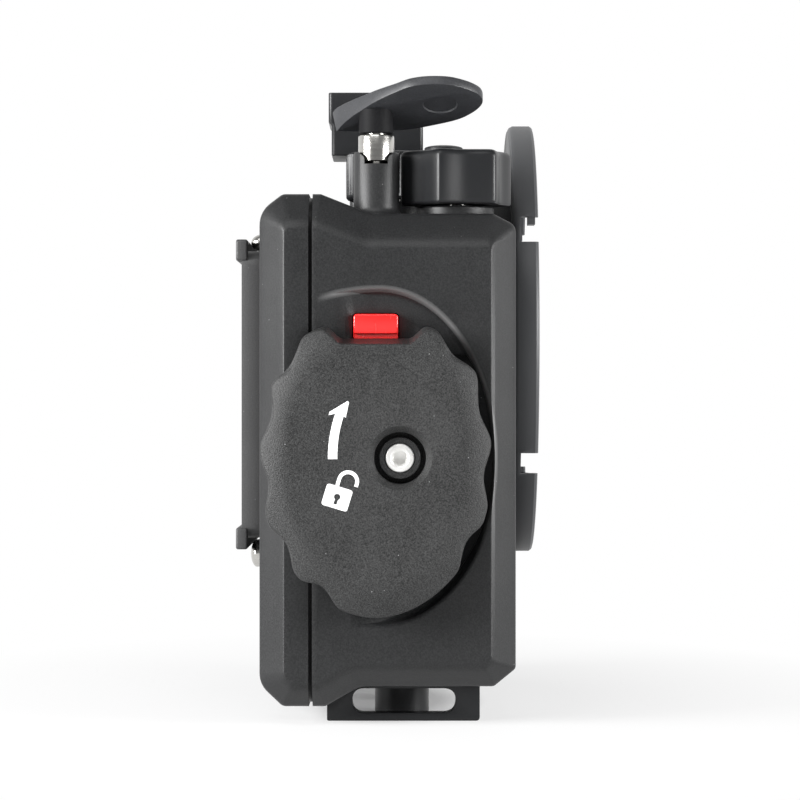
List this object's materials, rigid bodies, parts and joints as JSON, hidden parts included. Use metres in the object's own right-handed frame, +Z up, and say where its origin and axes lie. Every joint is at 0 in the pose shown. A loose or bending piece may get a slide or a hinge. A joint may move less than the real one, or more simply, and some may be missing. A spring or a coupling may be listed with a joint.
{
  "type": "underwater camera housing",
  "caption": "Clear-windowed watertight camera case with a hinged back, side lock knob, top shutter lever, dials, front bayonet ring and slotted foot.",
  "frame": {"origin": "centre of the bounding box at the foot's underside", "axes": "+Z up, -Y out of the front port, -X out of the lock knob"},
  "size_m": [0.1804, 0.076, 0.1613],
  "materials": {
    "matte_plastic": "fine grained, black",
    "knob_plastic": "satin, dark grey",
    "dark_plastic": "satin black",
    "red_plastic": "glossy red",
    "black_metal": "black anodised",
    "steel": "polished",
    "brass": "turned",
    "rubber": "soft black",
    "clear_plastic": "clear"
  },
  "bodies": {
    "housing": {"front_shell": "matte_plastic", "port_ring": "black_metal", "port_retainer": "black_metal", "port_glass": "clear_plastic", "port_seal": "rubber", "camera_cradle": "dark_plastic", "tripod_foot": "black_metal", "foot_insert_1": "brass", "foot_insert_2": "brass", "foot_insert_3": "brass", "foot_screw_1": "steel", "foot_screw_2": "steel", "foot_screw_3": "steel", "foot_screw_4": "steel", "cold_shoe": "black_metal", "shoe_screw_1": "steel", "shoe_screw_2": "steel", "hinge_pin_1": "steel", "hinge_pin_2": "steel", "lock_bush": "steel", "lock_screw": "steel", "shutter_spring": "steel"},
    "cover": {"rear_cover": "matte_plastic", "main_seal": "rubber", "rear_window": "clear_plastic", "window_frame": "dark_plastic", "frame_screw_1": "steel", "frame_screw_2": "steel", "frame_screw_3": "steel", "frame_screw_4": "steel"},
    "knob": {"lock_knob": "knob_plastic", "lock_cam": "dark_plastic"},
    "release": {"release_button": "red_plastic"},
    "shutter": {"shutter_paddle": "dark_plastic", "shutter_shaft": "steel", "shutter_clip": "steel"},
    "dial": {"mode_dial": "dark_plastic", "mode_dial_shaft": "steel"},
    "wheel": {"control_wheel": "dark_plastic", "control_wheel_shaft": "steel"},
    "top_key": {"top_button": "dark_plastic", "top_button_clip": "steel"},
    "pad_key_centre_body": {"pad_key_centre": "dark_plastic", "pad_key_centre_clip": "steel"},
    "pad_key_up_body": {"pad_key_up": "dark_plastic", "pad_key_up_clip": "steel"},
    "pad_key_down_body": {"pad_key_down": "dark_plastic", "pad_key_down_clip": "steel"},
    "pad_key_inner_body": {"pad_key_inner": "dark_plastic", "pad_key_inner_clip": "steel"},
    "pad_key_outer_body": {"pad_key_outer": "dark_plastic", "pad_key_outer_clip": "steel"},
    "upper_key_body": {"upper_key": "dark_plastic", "upper_key_clip": "steel"},
    "silver_key_upper_body": {"silver_key_upper": "steel", "silver_key_upper_clip": "steel"},
    "silver_key_lower_body": {"silver_key_lower": "steel", "silver_key_lower_clip": "steel"}
  },
  "joints": [
    {"name": "cover_hinge", "type": "hinge", "parent": "housing", "child": "cover", "pos_m": [0.0866, 0.01903, 0.07], "axis": [0, 0, -1], "range_deg": [0, 120]},
    {"name": "lock_turn", "type": "hinge", "parent": "housing", "child": "knob", "pos_m": [-0.084, -0.00293, 0.066], "axis": [1, 0, 0], "range_deg": [0, 180]},
    {"name": "release_press", "type": "slide", "parent": "housing", "child": "release", "axis": [1, 0, 0], "range_m": [0, 0.004], "stiffness_N_per_m": 300, "springref_m": -0.002},
    {"name": "shutter_press", "type": "slide", "parent": "housing", "child": "shutter", "axis": [0, 0, -1], "range_m": [0, 0.0035], "stiffness_N_per_m": 300, "springref_m": -0.004, "deforming": ["shutter_spring"]},
    {"name": "dial_turn", "type": "hinge", "parent": "housing", "child": "dial", "pos_m": [-0.058, -0.01692, 0.135], "axis": [0, 0, 1], "continuous": true},
    {"name": "wheel_turn", "type": "hinge", "parent": "housing", "child": "wheel", "pos_m": [-0.036, -0.00093, 0.137], "axis": [0, 0, 1], "continuous": true},
    {"name": "top_key_press", "type": "slide", "parent": "housing", "child": "top_key", "axis": [0, 0, -1], "range_m": [0, 0.003], "stiffness_N_per_m": 300, "springref_m": -0.003},
    {"name": "pad_key_centre_press", "type": "slide", "parent": "cover", "child": "pad_key_centre_body", "axis": [0, -1, 0], "range_m": [0, 0.0015], "stiffness_N_per_m": 300, "springref_m": -0.002},
    {"name": "pad_key_up_press", "type": "slide", "parent": "cover", "child": "pad_key_up_body", "axis": [0, -1, 0], "range_m": [0, 0.0015], "stiffness_N_per_m": 300, "springref_m": -0.002},
    {"name": "pad_key_down_press", "type": "slide", "parent": "cover", "child": "pad_key_down_body", "axis": [0, -1, 0], "range_m": [0, 0.0015], "stiffness_N_per_m": 300, "springref_m": -0.002},
    {"name": "pad_key_inner_press", "type": "slide", "parent": "cover", "child": "pad_key_inner_body", "axis": [0, -1, 0], "range_m": [0, 0.0015], "stiffness_N_per_m": 300, "springref_m": -0.002},
    {"name": "pad_key_outer_press", "type": "slide", "parent": "cover", "child": "pad_key_outer_body", "axis": [0, -1, 0], "range_m": [0, 0.0015], "stiffness_N_per_m": 300, "springref_m": -0.002},
    {"name": "upper_key_press", "type": "slide", "parent": "cover", "child": "upper_key_body", "axis": [0, -1, 0], "range_m": [0, 0.0015], "stiffness_N_per_m": 300, "springref_m": -0.002},
    {"name": "silver_key_upper_press", "type": "slide", "parent": "cover", "child": "silver_key_upper_body", "axis": [0, -1, 0], "range_m": [0, 0.0015], "stiffness_N_per_m": 300, "springref_m": -0.002},
    {"name": "silver_key_lower_press", "type": "slide", "parent": "cover", "child": "silver_key_lower_body", "axis": [0, -1, 0], "range_m": [0, 0.0015], "stiffness_N_per_m": 300, "springref_m": -0.002}
  ]
}
